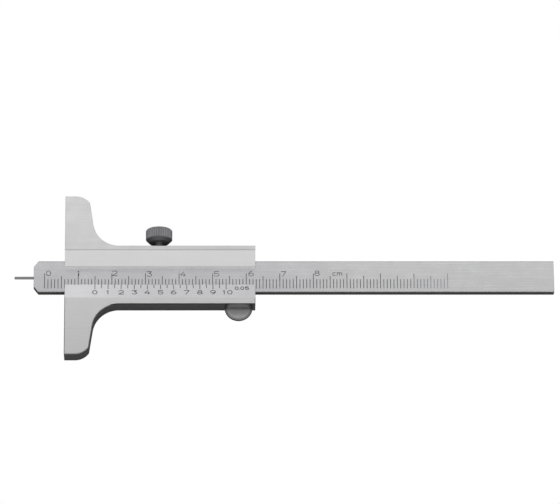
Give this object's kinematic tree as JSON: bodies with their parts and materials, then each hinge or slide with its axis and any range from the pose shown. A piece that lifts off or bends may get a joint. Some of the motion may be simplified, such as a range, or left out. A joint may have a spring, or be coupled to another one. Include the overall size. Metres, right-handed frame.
{
  "type": "vernier depth caliper",
  "caption": "Flat graduated beam with a thin needle at its nose, sliding through a T-shaped bridge and vernier slider with a knurled lock screw and a half-round thumb rest.",
  "frame": {"origin": "centre of the bridge's measuring face, on the centre lines of the beam's width and thickness", "axes": "+X along the beam, from the measuring face to the beam's rear end; +Y across the bridge, towards the lock screw; +Z out of the scale face"},
  "size_m": [0.1608, 0.05, 0.0078],
  "materials": {
    "satin_steel": "satin chrome over ground steel",
    "scale_steel": "matt ground steel with dark engraved lines",
    "needle_steel": "hardened and ground",
    "gib_bronze": "rolled spring bronze",
    "black_steel": "blackened, knurled",
    "pad_brass": "turned"
  },
  "bodies": {
    "slider": {"slider": "satin_steel", "gib": "gib_bronze", "gib_screws": "black_steel"},
    "beam": {"beam": "scale_steel", "needle": "needle_steel"},
    "clamp_pad": {"clamp_pad": "pad_brass"},
    "lock_screw": {"lock_screw": "black_steel"}
  },
  "joints": [
    {"name": "beam_slide", "type": "slide", "parent": "slider", "child": "beam", "axis": [-1, 0, 0], "range_m": [-0.015, 0.065]},
    {"name": "pad_feed", "type": "slide", "parent": "slider", "child": "clamp_pad", "axis": [0, -1, 0], "range_m": [-0.001, 0.00015]},
    {"name": "lock_turn", "type": "hinge", "parent": "clamp_pad", "child": "lock_screw", "pos_m": [0.028, 0, 0], "axis": [0, -1, 0], "range_deg": [-720, 105]}
  ],
  "couplings": [
    {"joint": "lock_turn", "follows": "pad_feed", "rad_per_m": 12566}
  ]
}
